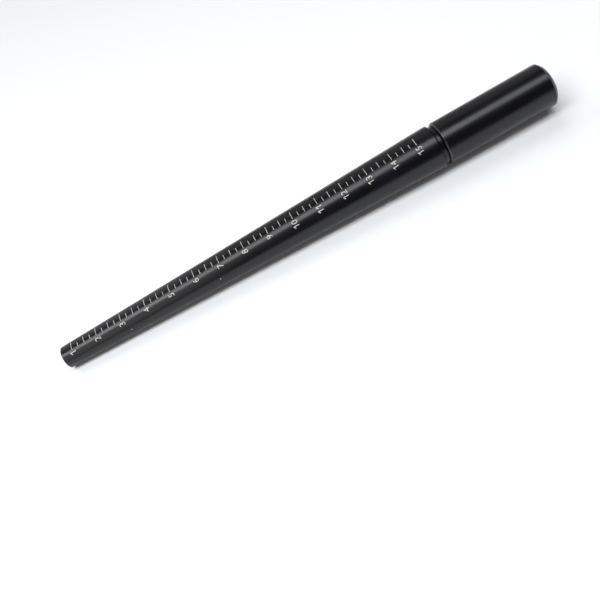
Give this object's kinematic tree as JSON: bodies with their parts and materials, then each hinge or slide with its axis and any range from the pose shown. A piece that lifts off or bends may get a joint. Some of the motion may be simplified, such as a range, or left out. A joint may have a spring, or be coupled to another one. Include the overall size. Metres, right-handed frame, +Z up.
{
  "type": "ring mandrel",
  "caption": "Tapered ring sizing mandrel with an engraved, paint-filled size scale and a plain round grip behind a turned neck.",
  "frame": {"origin": "middle of the box's base, on the surface that the mandrel lies on", "axes": "+X towards the grip, along the mandrel as it lies; +Z up; the scale faces up and to -Y. The mandrel's own axis rises 1.58 degrees towards +X because it lies on its taper"},
  "size_m": [0.29, 0.0244, 0.026],
  "materials": {
    "anodised_body": "black anodised, satin, fine turned lines",
    "anodised_grip": "black anodised, satin, fine turned lines",
    "stud_steel": "zinc plated steel",
    "line_paint": "cream paint rubbed into the engraved lines",
    "figure_paint": "cream paint rubbed into the engraved numbers"
  },
  "bodies": {
    "root": {"sizing_taper": "anodised_body", "grip_handle": "anodised_grip", "joining_stud": "stud_steel", "size_01_figure_1": "figure_paint", "size_01_half_line": "line_paint", "size_01_line": "line_paint", "size_02_figure_1": "figure_paint", "size_02_half_line": "line_paint", "size_02_line": "line_paint", "size_03_figure_1": "figure_paint", "size_03_half_line": "line_paint", "size_03_line": "line_paint", "size_04_figure_1": "figure_paint", "size_04_half_line": "line_paint", "size_04_line": "line_paint", "size_05_figure_1": "figure_paint", "size_05_half_line": "line_paint", "size_05_line": "line_paint", "size_06_figure_1": "figure_paint", "size_06_half_line": "line_paint", "size_06_line": "line_paint", "size_07_figure_1": "figure_paint", "size_07_half_line": "line_paint", "size_07_line": "line_paint", "size_08_figure_1": "figure_paint", "size_08_half_line": "line_paint", "size_08_line": "line_paint", "size_09_figure_1": "figure_paint", "size_09_half_line": "line_paint", "size_09_line": "line_paint", "size_10_figure_1": "figure_paint", "size_10_figure_2": "figure_paint", "size_10_half_line": "line_paint", "size_10_line": "line_paint", "size_11_figure_1": "figure_paint", "size_11_figure_2": "figure_paint", "size_11_half_line": "line_paint", "size_11_line": "line_paint", "size_12_figure_1": "figure_paint", "size_12_figure_2": "figure_paint", "size_12_half_line": "line_paint", "size_12_line": "line_paint", "size_13_figure_1": "figure_paint", "size_13_figure_2": "figure_paint", "size_13_half_line": "line_paint", "size_13_line": "line_paint", "size_14_figure_1": "figure_paint", "size_14_figure_2": "figure_paint", "size_14_half_line": "line_paint", "size_14_line": "line_paint", "size_15_figure_1": "figure_paint", "size_15_figure_2": "figure_paint", "size_15_line": "line_paint"}
  },
  "joints": []
}
